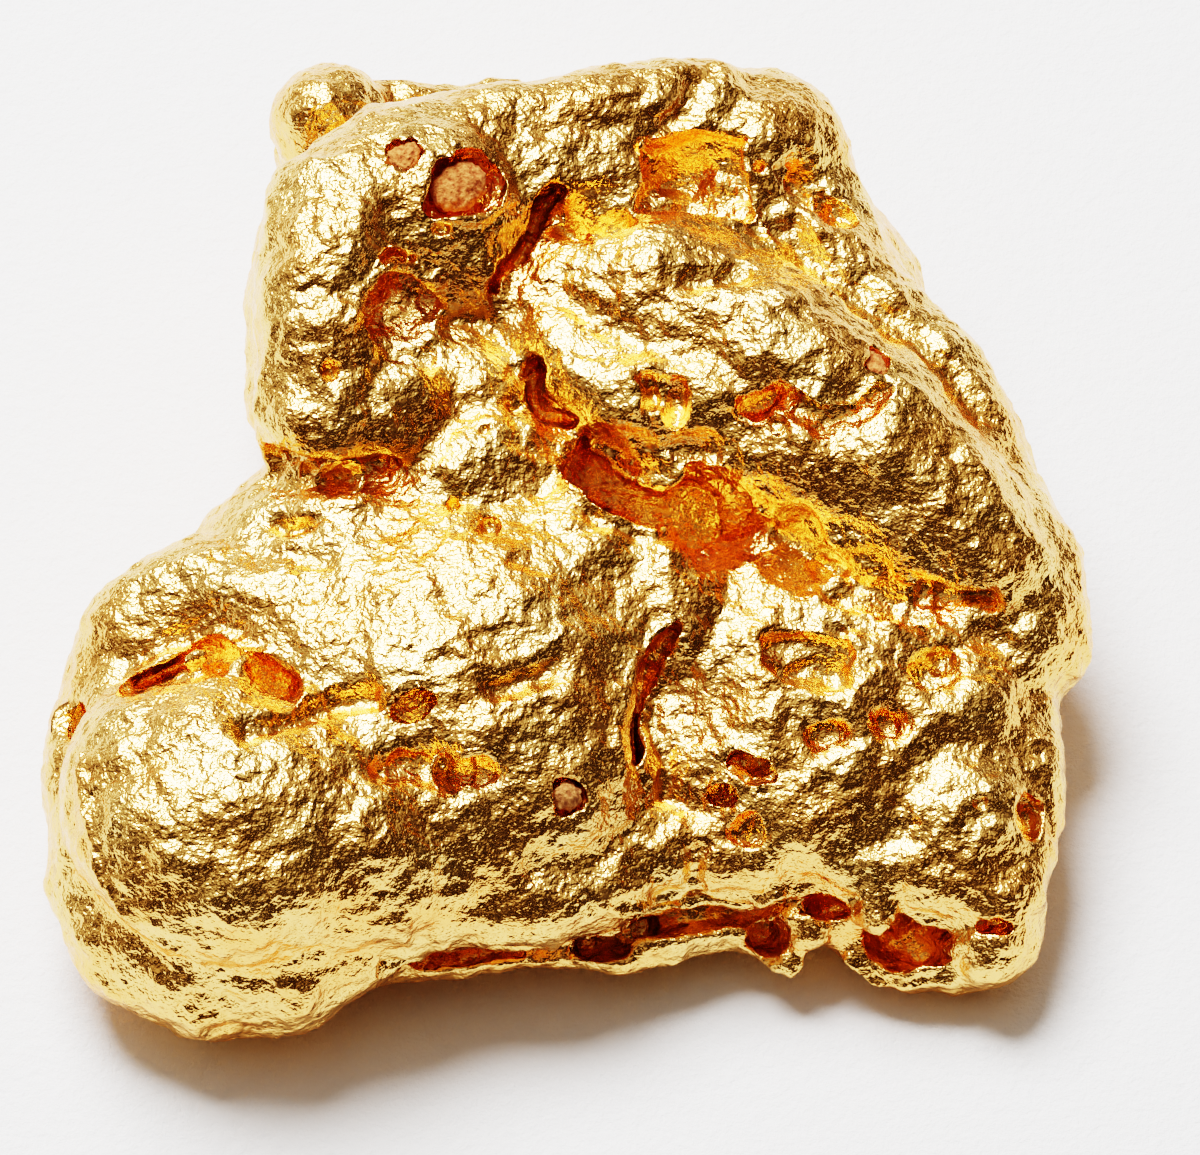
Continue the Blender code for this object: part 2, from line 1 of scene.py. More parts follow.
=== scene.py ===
"""Looks of the gold nugget: its finely crumpled skin, the clay in its pits, the paper and the light.

The nugget is made again here from the same forms as in the part, on a finer skin, and with the
creases, small pits and crumpling that the solid leaves out.
"""
import math

import bmesh
import bpy
import numpy as np
from mathutils import Euler, Matrix, Vector, noise
from mathutils.bvhtree import BVHTree


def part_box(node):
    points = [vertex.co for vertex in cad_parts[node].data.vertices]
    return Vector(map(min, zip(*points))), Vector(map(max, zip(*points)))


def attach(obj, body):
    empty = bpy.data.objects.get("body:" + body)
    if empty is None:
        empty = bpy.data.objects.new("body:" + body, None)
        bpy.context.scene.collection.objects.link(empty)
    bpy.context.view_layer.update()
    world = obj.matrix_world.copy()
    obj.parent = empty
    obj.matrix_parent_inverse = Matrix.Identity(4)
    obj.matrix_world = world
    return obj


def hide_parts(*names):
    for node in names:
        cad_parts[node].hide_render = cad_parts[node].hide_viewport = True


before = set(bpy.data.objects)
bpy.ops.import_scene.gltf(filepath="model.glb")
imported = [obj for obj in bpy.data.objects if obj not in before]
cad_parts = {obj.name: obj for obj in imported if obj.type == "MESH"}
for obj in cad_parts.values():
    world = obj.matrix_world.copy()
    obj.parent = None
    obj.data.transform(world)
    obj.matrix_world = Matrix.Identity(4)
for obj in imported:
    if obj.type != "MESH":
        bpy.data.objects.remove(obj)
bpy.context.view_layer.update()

# The part's driving dimensions, in millimetres unless the name says otherwise
METRES_PER_MM = 0.001
VIEW_ELEVATION_DEG = 58.0
CENTRE_X = -0.62
CENTRE_Y = -1.28
LUMP_FINENESS = 4
ROLL_FINENESS = 2
BALL_SPACING = 0.35
WELD = 0.001
VIEW_DISTANCE = 60.0
WINDOW_RISE = 2.5
PRESS_REACH = 3.0

# Fineness of the skin here
FORM_CELL = 0.12
CUTTER_CELL = 0.07
SKIN_CELL = 0.085
SMOOTHING_ROUNDS = 7
SWELL = 0.1
NUGGET_TRIANGLES = 196000

# Unevenness of the skin: kind of noise, size of the lumps, and how far they stand out. SHIFT moves
# the skin sideways too, SOFT makes round lumps, HARD makes creases and CELLS makes facets.
UNEVENNESS = {
    "waver": ("SHIFT", 1.3, 0.36),
    "fray": ("SHIFT", 0.4, 0.11),
    "broad": ("SOFT", 2.2, 0.24),
    "small": ("SOFT", 0.85, 0.08),
    "folds": ("CELLS", 0.6, 0.06),
    "crumple": ("HARD", 0.4, 0.045),
    "wrinkle": ("HARD", 0.22, 0.02),
}
NOISE_LAYERS = 2
CELL_MIDDLE = 0.3

# The layers that follow how crumpled the skin is, where it is most so (across, up, height and how
# far round), and how crumpled it is at least
WRINKLED_LAYERS = ("folds", "crumple")
WRINKLED_SPOTS = [(3.2, 4.0, 6.5, 4.2), (-0.5, 5.0, 6.5, 2.0), (4.8, -3.5, 3.5, 4.4), (-2.6, 0.5, 5.5, 3.4)]
LEAST_WRINKLED = 0.35
WEIGHT_LEVELS = 20
RIM_SPACING = 0.8

# Gold: the colours of its patches and where each starts, the deeper orange painted into its hollows as
# painted glow of light bounced inside them and how deep in millimetres they are where it starts and where it
# is full, and the least and most roughness
GOLD_DEEP = (0.35, (1.0, 0.48, 0.14, 1.0))
GOLD_PALE = (0.65, (1.0, 0.57, 0.19, 1.0))
# Painted glow: a deeper, more saturated orange in the hollows that stands in for light bounced inside them
GOLD_PAINTED_GLOW = (1.0, 0.52, 0.11, 1.0)
PAINTED_GLOW_DEPTHS = (0.9, 2.2)
GOLD_ROUGHNESS = (0.14, 0.34)

# Clay: the dark and the light colour of each slot's grains and where each starts
CLAY_COLOURS = {
    "clay": ((0.38, (0.3, 0.07, 0.015, 1.0)), (0.62, (0.72, 0.27, 0.08, 1.0))),
    "brown_grain": ((0.38, (0.3, 0.1, 0.03, 1.0)), (0.62, (0.62, 0.28, 0.09, 1.0))),
}
CLAY_ROUGHNESS = 0.95
CLAY_CUTS = 2

# Paper
PAPER_COLOUR = (0.9, 0.9, 0.915, 1.0)
PAPER_GLOSS = 0.1
PAPER_BUMP_STRENGTH = 0.8

# Noises of the materials: features per metre, layers, and how much of a layer the next one keeps
PATCHES = (700.0, 3.0, 0.5)
SMEARS = (2500.0, 2.0, 0.5)
WRINKLES = (3600.0, 1.0, 0.5)
GRAIN = (13000.0, 1.0, 0.6)
CLAY_GRAINS = (9000.0, 4.0, 0.7)
PAPER_TOOTH = (3500.0, 5.0, 0.75)

# How high their bumps are, in metres
WRINKLES_HEIGHT = 0.00009
GRAIN_HEIGHT = 0.00003
CLAY_GRAINS_HEIGHT = 0.00008
PAPER_TOOTH_HEIGHT = 0.0001

# Camera and light, in metres
PHOTO_WIDTH = 0.024
CAMERA_DISTANCE = 0.6
SENSOR = 36.0
LIGHT_FROM = (-0.27, 0.45, 1.0)
LIGHT_DISTANCE = 0.25
LIGHT_SIZE = 0.15
LIGHT_POWER = 0.78
CONTRAST = "Very High Contrast"
EXPOSURE = 0.8

# The surroundings' colour away from the light and round it, each with how near the direction is
SURROUNDINGS_FAR = (0.35, (0.022, 0.016, 0.01, 1.0))
SURROUNDINGS_NEAR = (0.97, (0.42, 0.39, 0.35, 1.0))
FLOOR_SIZE = 0.6

# Round lumps: across, up, height of the centre, radii along X, Y and Z
LUMPS = {
    "core_left": (-4.0, -2.2, 3.3, (5.0, 5.6, 2.7)),
    "core_right": (4.0, -0.6, 2.9, (4.6, 6.2, 2.3)),
    "core_back": (0.4, 5.2, 3.9, (5.2, 4.4, 3.2)),
    "body_dome": (-2.8, -1.3, 4.4, (3.9, 4.1, 2.0)),
    "body_shoulder": (-5.0, 0.1, 3.7, (3.0, 2.4, 2.4)),
    "body_neck": (-2.9, 3.0, 4.2, (2.4, 2.8, 2.35)),
    "body_left_of_neck": (-4.3, 3.3, 5.2, (1.7, 2.3, 2.0)),
    "neck_front": (-2.6, 1.6, 4.2, (2.6, 2.4, 2.2)),
    "hood_inside": (-4.4, 5.2, 5.4, (1.6, 2.0, 2.3)),
    "body_right": (-0.4, 0.1, 4.1, (1.7, 2.6, 2.0)),
    "body_to_plate": (1.2, -0.6, 4.1, (1.7, 2.0, 1.6)),
    "plate_by_body": (2.6, -1.2, 3.4, (1.8, 2.0, 1.6)),
    "lobe_dome": (-7.2, -4.4, 4.2, (3.4, 3.5, 2.1)),
    "lobe_front": (-5.6, -5.6, 3.3, (3.2, 2.2, 2.5)),
    "body_front": (-1.8, -4.0, 3.4, (2.9, 2.4, 2.2)),
    "hood_face": (-3.65, 7.15, 6.5, (2.25, 2.1, 2.15)),
    "hood_prong": (-2.6, 6.1, 6.5, (0.8, 1.0, 1.2)),
    "ridge_front": (-0.2, 7.4, 5.5, (1.6, 1.4, 1.9)),
    "plate_back": (4.6, -1.7, 2.6, (3.9, 2.6, 1.9)),
    "plate_left": (2.2, -2.6, 2.6, (1.6, 2.4, 1.9)),
    "plate_front": (4.6, -4.2, 2.2, (3.7, 2.2, 1.9)),
    "plate_corner": (7.0, -4.9, 2.2, (1.9, 2.0, 1.8)),
    "plate_right": (6.6, -2.6, 2.5, (2.2, 2.8, 2.0)),
    "knob_behind_hood": (-5.45, 9.15, 4.8, (1.1, 1.05, 1.1)),
    "back_flank_left": (-3.6, 5.4, 3.2, (3.4, 3.6, 2.9)),
    "back_flank_right": (3.4, 4.6, 3.0, (3.2, 4.0, 2.7)),
    "dome_back_right": (3.1, 8.1, 5.2, (1.9, 1.9, 1.9)),
    "foot_front_left": (-7.8, -6.2, 1.1, (1.6, 1.6, 1.6)),
    "foot_back_left": (-3.8, 3.9, 1.2, (1.8, 1.6, 1.7)),
    "foot_back_right": (3.4, 3.4, 1.2, (1.6, 1.8, 1.7)),
    "foot_front_right": (7.0, -3.6, 0.9, (1.4, 1.4, 1.4)),
    "foot_middle": (-0.4, -1.2, 1.4, (2.4, 2.0, 1.9)),
}

# Rolls: each point is across, up, height and radius
ROLLS = {
    "hood": [
        (-5.5, 2.95, 6.0, 1.4), (-5.5, 4.7, 6.7, 1.4), (-5.3, 6.2, 7.1, 1.5), (-5.0, 7.0, 7.05, 1.75),
        (-4.1, 8.15, 7.1, 1.35),
    ],
    "ridge_crest": [
        (-4.2, 8.4, 7.3, 1.1), (-3.0, 8.65, 7.2, 0.95), (-1.5, 8.95, 7.1, 0.95), (0.0, 9.15, 7.0, 0.95),
        (1.3, 9.45, 6.8, 0.95), (2.3, 9.3, 6.4, 0.95),
    ],
    "ridge_slope": [
        (-3.1, 7.6, 6.4, 1.5), (-1.2, 7.85, 6.35, 1.5), (0.2, 8.05, 6.1, 1.5), (1.4, 8.4, 5.8, 1.6),
    ],
    "slab_crest": [
        (-0.4, 5.6, 5.6, 1.65), (1.2, 5.3, 5.9, 1.9), (3.2, 4.3, 5.7, 2.0), (5.0, 2.9, 5.1, 2.05),
        (6.5, 1.3, 4.5, 1.9), (7.5, 0.1, 4.0, 1.6),
    ],
    "slab_face": [
        (-0.7, 4.4, 5.8, 1.2), (0.6, 3.5, 6.0, 1.15), (2.2, 3.4, 5.9, 1.3), (3.9, 2.6, 5.6, 1.3),
        (5.3, 1.7, 5.1, 1.2), (6.7, 0.6, 4.6, 0.95),
    ],
    "slab_tongue": [(0.7, 3.2, 5.8, 0.8), (1.3, 2.35, 5.7, 0.5)],
    "body_nub": [(-1.9, 2.7, 5.2, 0.8), (-1.1, 2.6, 5.5, 0.5), (-0.75, 2.5, 5.5, 0.4)],
    "right_flank": [
        (3.6, 7.4, 5.0, 1.6), (4.8, 5.1, 4.6, 1.6), (6.0, 3.8, 4.3, 1.65), (6.8, 2.6, 4.0, 1.7),
        (7.1, 1.6, 3.7, 1.6), (8.2, 0.1, 3.4, 1.4), (8.15, -1.0, 3.1, 1.6), (7.9, -1.7, 2.8, 1.4),
    ],
    "right_edge": [
        (8.1, -2.9, 2.7, 1.0), (8.3, -4.3, 2.4, 0.9), (8.15, -5.2, 2.2, 0.9), (7.95, -6.3, 2.0, 0.9),
        (7.75, -7.2, 1.6, 0.9),
    ],
    "lobe_rim": [
        (-4.4, -6.7, 2.7, 1.2), (-6.2, -7.35, 2.2, 1.6), (-7.8, -7.4, 1.95, 1.75), (-9.0, -6.7, 2.1, 1.7),
        (-9.35, -5.1, 2.5, 1.7), (-9.35, -3.6, 2.8, 1.7), (-8.85, -2.1, 3.0, 1.75), (-7.9, -0.95, 3.2, 1.75),
        (-6.7, -0.5, 3.4, 1.45),
    ],
    "fold_brow": [
        (-9.0, -1.2, 3.9, 1.2), (-7.8, -0.3, 4.4, 1.2), (-6.3, -0.9, 4.8, 1.2), (-5.0, -1.8, 4.9, 1.2),
    ],
    "body_front_edge": [
        (-5.0, -6.5, 2.9, 1.1), (-3.0, -6.35, 2.9, 1.0), (-1.0, -6.3, 2.8, 1.0), (0.2, -5.9, 2.7, 1.0),
    ],
    "body_right_edge": [
        (0.75, 0.3, 5.0, 0.75), (0.35, -1.2, 4.9, 0.75), (-0.1, -2.6, 4.7, 0.75), (0.0, -3.9, 4.2, 0.8),
    ],
    "plate_front_edge": [
        (0.6, -5.3, 2.9, 0.9), (2.2, -5.4, 2.8, 0.85), (3.8, -5.2, 2.7, 0.85), (5.4, -5.6, 2.6, 0.85),
        (7.0, -5.9, 2.5, 0.9), (8.0, -6.2, 2.3, 0.8),
    ],
    "plate_tooth": [(5.2, -5.9, 2.6, 0.6), (5.5, -6.7, 2.4, 0.35)],
    "torn_layer_left": [
        (-4.6, -7.4, 1.6, 0.6), (-3.0, -7.4, 1.6, 0.5), (-1.2, -7.15, 1.5, 0.5), (0.4, -7.3, 1.4, 0.5),
        (1.4, -7.15, 1.4, 0.5), (2.4, -6.8, 1.3, 0.5), (3.3, -6.9, 1.2, 0.55), (4.2, -6.7, 1.2, 0.5),
    ],
    "torn_layer_right": [(5.4, -7.3, 1.0, 0.6), (6.3, -7.6, 0.9, 0.65), (7.4, -7.4, 1.1, 0.8)],
    "behind_torn_layer": [
        (-4.0, -6.5, 1.9, 0.9), (0.4, -6.3, 1.7, 0.9), (3.5, -6.0, 1.6, 1.0), (6.2, -6.7, 1.4, 1.0),
    ],
    "tooth": [(3.2, -6.9, 1.3, 0.5), (3.8, -7.6, 1.1, 0.3)],
    "twisted_lobe": [(3.8, -6.2, 2.1, 0.45), (4.2, -7.0, 1.7, 0.35)],
    "flange_behind_hood": [(-4.6, 9.35, 4.4, 0.5), (-3.2, 9.35, 4.4, 0.5), (-1.8, 9.5, 4.4, 0.45)],
    "left_skirt": [(-5.2, 3.7, 2.7, 1.9), (-5.1, 5.4, 2.8, 2.0), (-4.7, 6.8, 3.0, 2.1)],
    "back_skirt": [(-4.5, 7.0, 3.2, 2.2), (-1.8, 7.0, 2.8, 2.2), (1.0, 7.0, 2.7, 2.2), (3.4, 6.2, 2.6, 2.1)],
    "under_knob": [(-5.3, 8.4, 3.4, 1.1), (-4.4, 8.0, 3.0, 1.6)],
}

# Hollows, cut out: each point is across, up, height and radius
HOLLOWS = {
    "big_cavity": [(0.6, 2.1, 4.5, 0.75), (1.5, 1.8, 4.2, 0.95), (2.5, 1.5, 4.3, 0.85)],
}

# Scoops, balls sunk in the skin: across, up, half width, half height, turn, depth, and how far the
# bottom leans in under the upper edge, both in degrees
SCOOPS = [
    (0.4, 1.75, 1.1, 0.42, -35, 2.0, 35), (2.2, 1.15, 1.2, 0.65, -25, 1.5, 25),
    (3.6, 0.65, 1.4, 0.75, -28, 0.9, 15), (5.1, -0.05, 1.2, 0.6, -30, 0.6, 0),
    (6.1, -0.55, 0.7, 0.35, -25, 0.4, 0), (-4.0, 5.5, 1.25, 0.75, 0, 1.1, 35),
    (-3.7, 4.7, 1.0, 0.7, 0, 0.45, 0), (-8.3, -1.8, 1.2, 0.25, 20, 0.8, 25),
    (-6.6, -1.95, 0.65, 0.3, -25, 0.9, 25), (1.9, 7.85, 1.4, 0.85, 10, 1.0, 10),
    (1.15, 7.75, 0.25, 0.35, -10, 1.2, 0), (3.3, -7.15, 0.5, 0.4, -30, 1.0, 15),
    (6.0, -7.3, 0.95, 0.6, -15, 1.4, 30), (8.55, -4.7, 0.3, 0.5, 0, 0.7, 0),
    (-2.7, -7.55, 1.6, 0.2, 3, 0.9, 15), (0.1, -7.4, 0.6, 0.22, 0, 0.9, 20),
    (2.0, -6.85, 1.6, 0.26, 9, 1.0, 20),
    (4.5, -6.6, 0.4, 0.22, -20, 0.9, 20), (7.7, -6.95, 0.5, 0.14, 0, 0.7, 10),
    (4.2, -1.6, 1.0, 0.6, -15, 0.5, 0),
    (6.7, -1.75, 0.6, 0.45, 20, 0.5, 0), (2.95, -3.8, 0.48, 0.24, -25, 0.9, 15),
    (2.9, -5.0, 0.4, 0.35, 0, 0.4, 0), (1.4, 3.6, 0.35, 0.55, 10, 0.5, 0),
]

# Openings cut straight in as seen from the front: depth under the skin, then the outline
WINDOWS = {
    "cavity_mouth": (1.7, [
        (-0.75, 2.1), (-0.7, 1.8), (-0.3, 1.6), (0.2, 1.3), (0.7, 1.05), (0.95, 0.9), (1.3, 1.0),
        (1.5, 0.65), (1.9, 0.5), (2.4, 0.8), (2.5, 1.5), (2.1, 1.95), (1.7, 2.05), (1.6, 1.85), (1.3, 1.7),
        (0.9, 1.85), (0.5, 2.05), (0.15, 2.35), (-0.1, 2.5), (-0.3, 3.0), (-0.45, 2.6),
    ]),
    "cavity_top": (1.4, [
        (-1.6, 4.2), (-1.35, 4.45), (-1.05, 4.25), (-1.0, 3.95), (-1.15, 3.6), (-1.05, 3.35), (-0.8, 3.28),
        (-0.4, 3.2), (-0.5, 3.0), (-1.2, 3.05), (-1.45, 3.35), (-1.5, 3.75),
    ]),
    "hooked_gap": (1.2, [
        (-0.6, 7.85), (-1.15, 7.5), (-1.45, 7.05), (-1.6, 6.65), (-1.95, 6.25), (-2.15, 5.9), (-2.1, 5.3),
        (-1.95, 5.25), (-1.93, 5.85), (-1.7, 6.15), (-1.38, 6.55), (-1.25, 6.95), (-1.0, 7.3), (-0.6, 7.6),
    ]),
    "fold_cavity": (0.8, [
        (-9.55, -2.35), (-9.2, -2.0), (-8.6, -1.7), (-8.1, -1.5), (-7.85, -1.2), (-7.5, -1.2), (-7.0, -1.5),
        (-6.4, -1.75), (-5.95, -2.0), (-6.0, -2.35), (-6.4, -2.4), (-6.75, -2.15), (-7.0, -1.75),
        (-7.5, -1.9), (-8.0, -1.7), (-8.7, -2.05),
    ]),
    "valley_crack": (0.9, [
        (1.75, -0.8), (1.35, -1.05), (0.95, -1.55), (0.7, -2.2), (0.52, -3.0), (0.58, -3.7), (0.9, -4.3),
        (0.95, -4.1), (0.76, -3.6), (0.74, -3.0), (0.88, -2.4), (1.12, -1.85), (1.55, -1.3),
    ]),
    "slab_slot": (0.7, [
        (2.72, 3.35), (2.8, 3.6), (3.2, 3.74), (3.65, 3.74), (3.6, 3.55), (3.35, 3.42), (3.3, 3.2),
        (3.0, 3.15),
    ]),
}

# Presses, sunk into the skin as seen from the front: width, depth, then points across and up
PRESSES = {
    "shelf_under_hood": (0.3, 0.5, [(-6.9, 2.2), (-6.0, 2.1), (-5.0, 2.05), (-4.2, 2.1)]),
    "ridge_fold": (0.3, 0.2, [(1.8, 9.9), (1.6, 9.2), (0.9, 8.4)]),
    "ridge_and_slab": (0.3, 0.6, [(-0.9, 7.2), (-0.2, 6.95), (0.5, 7.15)]),
    "right_flank_groove": (0.35, 0.25, [(3.3, 7.2), (4.5, 6.1), (6.4, 4.8), (7.6, 3.3)]),
    "back_pit": (0.4, 0.6, [(4.0, 8.0), (4.6, 7.4)]),
    "slab_crease": (0.25, 0.35, [(3.6, 3.6), (4.4, 3.15), (5.0, 3.3), (5.5, 3.65)]),
    "slab_top_crease": (0.25, 0.3, [(1.7, 6.0), (2.8, 6.1)]),
    "slab_shoulder_dish": (0.8, 0.3, [(2.2, 2.5), (3.0, 2.7)]),
    "body_crease": (0.25, 0.4, [(-6.9, -2.95), (-5.6, -2.55), (-4.5, -2.35)]),
    "body_deep_pit": (0.38, 0.8, [(-3.75, -2.55), (-3.55, -2.5)]),
    "body_right_crease": (0.25, 0.3, [(-2.1, -2.1), (-1.0, -1.8)]),
    "body_slots": (0.3, 0.45, [(-4.2, -3.7), (-3.2, -3.75), (-2.2, -3.85)]),
    "body_left_slot": (0.2, 0.35, [(-6.3, 1.05), (-5.7, 1.0)]),
    "lobe_pit": (0.35, 0.5, [(-10.4, -2.8), (-10.45, -3.0)]),
    "plate_black_pit": (0.3, 0.6, [(2.25, -4.3), (2.5, -4.25)]),
    "plate_slant_pit": (0.25, 0.4, [(4.3, -3.1), (4.7, -3.0)]),
    "plate_small_pit": (0.3, 0.4, [(5.6, -2.8), (5.8, -2.8)]),
    "slot_under_slab": (0.22, 0.6, [(6.3, -0.35), (7.0, -0.45), (7.7, -0.55)]),
    "down_the_front": (0.25, 0.25, [(1.85, -5.4), (1.8, -6.1)]),
    "under_plate_lip": (0.16, 0.3, [
        (-4.2, -7.75), (-2.0, -7.35), (-0.4, -7.35), (0.4, -7.1), (1.8, -6.5), (3.6, -6.5), (4.9, -6.5),
    ]),
}

# Small pits, in the same terms as the scoops; how uneven both are, as a share of their radius, and
# how many times that comes and goes in them
PITS = [
    (-5.35, 4.05, 0.24, 0.24, 0, 0.35, 0), (-6.15, 3.6, 0.36, 0.09, 0, 0.5, 0),
    (-1.75, 7.25, 0.12, 0.14, 0, 0.4, 0), (1.7, 8.5, 0.2, 0.12, 0, 0.4, 0),
    (3.2, 8.2, 0.14, 0.1, 30, 0.4, 0), (3.6, 8.15, 0.13, 0.12, 0, 0.4, 0),
    (4.9, 7.3, 0.3, 0.2, -30, 0.5, 0), (4.6, 5.65, 0.18, 0.12, -30, 0.4, 0),
    (3.55, 3.05, 0.11, 0.16, 0, 0.5, 0), (8.5, 2.05, 0.12, 0.08, 0, 0.3, 0),
    (8.3, 1.1, 0.1, 0.1, 0, 0.3, 0), (0.95, 3.45, 0.11, 0.55, -8, 0.7, 0),
    (0.8, 4.0, 0.12, 0.14, 0, 0.5, 0), (2.5, 1.3, 0.14, 0.22, 0, 0.9, 0),
    (4.45, 0.75, 0.12, 0.1, 0, 0.5, 0), (4.5, 0.4, 0.1, 0.1, 0, 0.5, 0),
    (4.75, -1.05, 0.15, 0.11, 0, 0.5, 0), (-5.2, 1.85, 0.3, 0.19, 0, 0.7, 20),
    (-5.8, 1.9, 0.18, 0.12, 0, 0.5, 20), (-6.0, 1.05, 0.36, 0.07, 0, 0.5, 0),
    (-2.95, 1.45, 0.1, 0.27, 10, 0.6, 0), (-2.2, 1.0, 0.22, 0.16, 20, 0.6, 0),
    (-1.75, 3.3, 0.16, 0.15, 0, 0.4, 0), (-2.35, 2.85, 0.18, 0.12, 0, 0.3, 0),
    (-3.6, 3.1, 0.15, 0.12, 0, 0.3, 0), (-3.65, -2.55, 0.36, 0.24, 15, 0.8, 20),
    (-3.75, -3.7, 0.45, 0.11, -5, 0.5, 20), (-2.6, -3.85, 0.5, 0.13, 8, 0.5, 20),
    (-3.0, -4.1, 0.15, 0.1, 0, 0.3, 0), (-10.4, -2.8, 0.15, 0.3, 0, 0.5, 0),
    (-10.5, -4.5, 0.1, 0.15, 0, 0.3, 0), (-10.6, -5.1, 0.08, 0.13, 0, 0.3, 0),
    (-7.5, -8.9, 0.5, 0.09, 3, 0.4, 0), (2.35, -4.3, 0.25, 0.16, 20, 0.8, 0),
    (4.45, -3.05, 0.28, 0.09, 40, 0.5, 0), (5.7, -2.8, 0.17, 0.13, 0, 0.5, 0),
    (6.15, -4.8, 0.22, 0.11, -20, 0.5, 0), (7.5, -4.5, 0.13, 0.12, 0, 0.4, 0),
    (2.75, -1.75, 0.07, 0.06, 0, 0.3, 0), (8.8, -3.1, 0.1, 0.13, 0, 0.3, 0),
    (1.35, -1.3, 0.25, 0.2, 40, 0.9, 20), (-6.1, 0.2, 0.14, 0.06, 20, 0.3, 0),
    (-7.3, -6.1, 0.3, 0.07, 20, 0.3, 0), (5.6, -5.2, 0.2, 0.07, -20, 0.3, 0),
    (0.2, -1.3, 0.2, 0.07, 30, 0.3, 0), (-0.6, 5.6, 0.2, 0.08, 20, 0.3, 0),
    (2.2, 5.5, 0.25, 0.07, -20, 0.3, 0), (6.6, 1.6, 0.22, 0.07, 40, 0.3, 0),
    (-4.6, 6.9, 0.18, 0.06, 30, 0.3, 0), (-3.1, 6.95, 0.2, 0.12, -20, 0.35, 0),
    (-3.5, -0.6, 0.2, 0.07, 50, 0.3, 0),
]
PIT_FINENESS = 3
PIT_WOBBLE = 0.45
PIT_WOBBLE_SCALE = 1.5
SEAT_WOBBLE = 0.35

# Thin raised rims along the skin: radius, how far the middle stands over the skin, and the line
RIMS = {
    "cavity_lower_lip": (0.11, 0.0, [
        (-0.8, 1.85), (-0.3, 1.55), (0.2, 1.25), (0.7, 0.98), (0.95, 0.82), (1.3, 0.92),
    ]),
    "cavity_upper_lip": (0.2, 0.05, [
        (-0.1, 2.6), (0.2, 2.38), (0.55, 2.15), (0.9, 1.97), (1.25, 1.85), (1.6, 2.0), (1.8, 2.25),
        (2.4, 2.2),
    ]),
    "lobe_seam": (0.12, -0.02, [
        (-10.2, -3.5), (-10.25, -4.6), (-9.8, -6.0), (-9.0, -7.0), (-7.5, -7.75), (-5.5, -7.5),
    ]),
    "fold_beads": (0.15, 0.0, [(-8.1, -1.62), (-7.85, -1.55)]),
    "fold_tooth": (0.12, 0.0, [(-7.25, -1.75), (-7.0, -1.62)]),
    "arch": (0.13, 0.0, [
        (-5.0, 4.95), (-4.75, 5.6), (-4.35, 6.0), (-3.8, 6.1), (-3.3, 5.9), (-2.95, 5.35),
    ]),
    "hooked_gap": (0.12, -0.02, [
        (-0.95, 7.85), (-1.4, 7.35), (-1.7, 6.7), (-2.05, 6.3), (-2.27, 5.8), (-2.2, 5.3),
    ]),
    "valley_crack": (0.11, 0.0, [
        (1.5, -0.85), (1.1, -1.15), (0.75, -1.65), (0.48, -2.4), (0.36, -3.2), (0.45, -3.9),
    ]),
    "plate_lip": (0.14, 0.03, [(0.4, -6.65), (1.5, -6.45), (2.9, -6.4), (3.55, -6.25)]),
    "oval_dish": (0.09, 0.0, [(3.1, -1.1), (3.3, -1.9), (4.0, -2.35), (5.0, -2.3), (5.4, -1.9)]),
    "slab_leaf": (0.13, 0.03, [(3.7, 3.85), (4.4, 3.4), (5.0, 3.45), (5.5, 3.85)]),
    "clay_pit": (0.12, 0.02, [(-2.9, 7.12), (-2.35, 7.1), (-1.95, 7.45), (-1.9, 7.95)]),
    "back_hollow": (0.12, 0.0, [(2.95, 8.5), (3.1, 7.4), (3.6, 6.6)]),
    "cup": (0.12, 0.0, [(4.95, -7.6), (5.4, -7.95), (6.1, -8.1), (6.95, -8.1)]),
}

# Bits of clay: radii of the seat along the skin and into it, and how far its middle is over the bit's
CLAY_SEATS = {
    "clay_in_upper_pit": ((0.88, 0.76, 0.54), 0.21),
    "clay_on_crown": ((0.37, 0.43, 0.22), 0.03),
    "clay_on_slab": ((0.41, 0.31, 0.22), 0.03),
    "brown_grain": ((0.4, 0.38, 0.3), 0.03),
}
CLAY_UNEVENNESS = {"lumps": ("SOFT", 0.3, 0.16), "grains": ("HARD", 0.12, 0.07)}


def seen(across, up, height):
    """The place of what shows at (across, up) in the photograph and lies that high over the table."""
    tilt = math.radians(VIEW_ELEVATION_DEG)
    depth = (up - height * math.cos(tilt)) / math.sin(tilt)
    return Vector((across - CENTRE_X, depth - CENTRE_Y, height))


def view_direction():
    """The way that the photograph looks: away from the viewer and down."""
    tilt = math.radians(VIEW_ELEVATION_DEG)
    return Vector((0.0, math.cos(tilt), -math.sin(tilt)))


def add_object(name, bm):
    """Puts the shape in bm in the scene as an object."""
    mesh = bpy.data.meshes.new(name)
    bm.to_mesh(mesh)
    bm.free()
    made = bpy.data.objects.new(name, mesh)
    bpy.context.scene.collection.objects.link(made)
    return made


def add_rolls(shapes, bm):
    """Adds each roll to bm as a row of balls close enough to merge into one tapered tube."""
    for points in shapes.values():
        for first, last in zip(points, points[1:]):
            start, end = seen(*first[:3]), seen(*last[:3])
            steps = max(2, math.ceil((end - start).length / (BALL_SPACING * min(first[3], last[3]))))
            for step in range(steps + 1):
                share = step / steps
                radius = first[3] + (last[3] - first[3]) * share
                place = Matrix.Translation(start.lerp(end, share))
                bmesh.ops.create_icosphere(bm, subdivisions=ROLL_FINENESS, radius=radius, matrix=place)


def add_lumps(shapes, bm):
    """Adds each round lump to bm as a stretched ball."""
    for across, up, height, radii in shapes.values():
        place = Matrix.LocRotScale(seen(across, up, height), Euler(), radii)
        bmesh.ops.create_icosphere(bm, subdivisions=LUMP_FINENESS, radius=1.0, matrix=place)


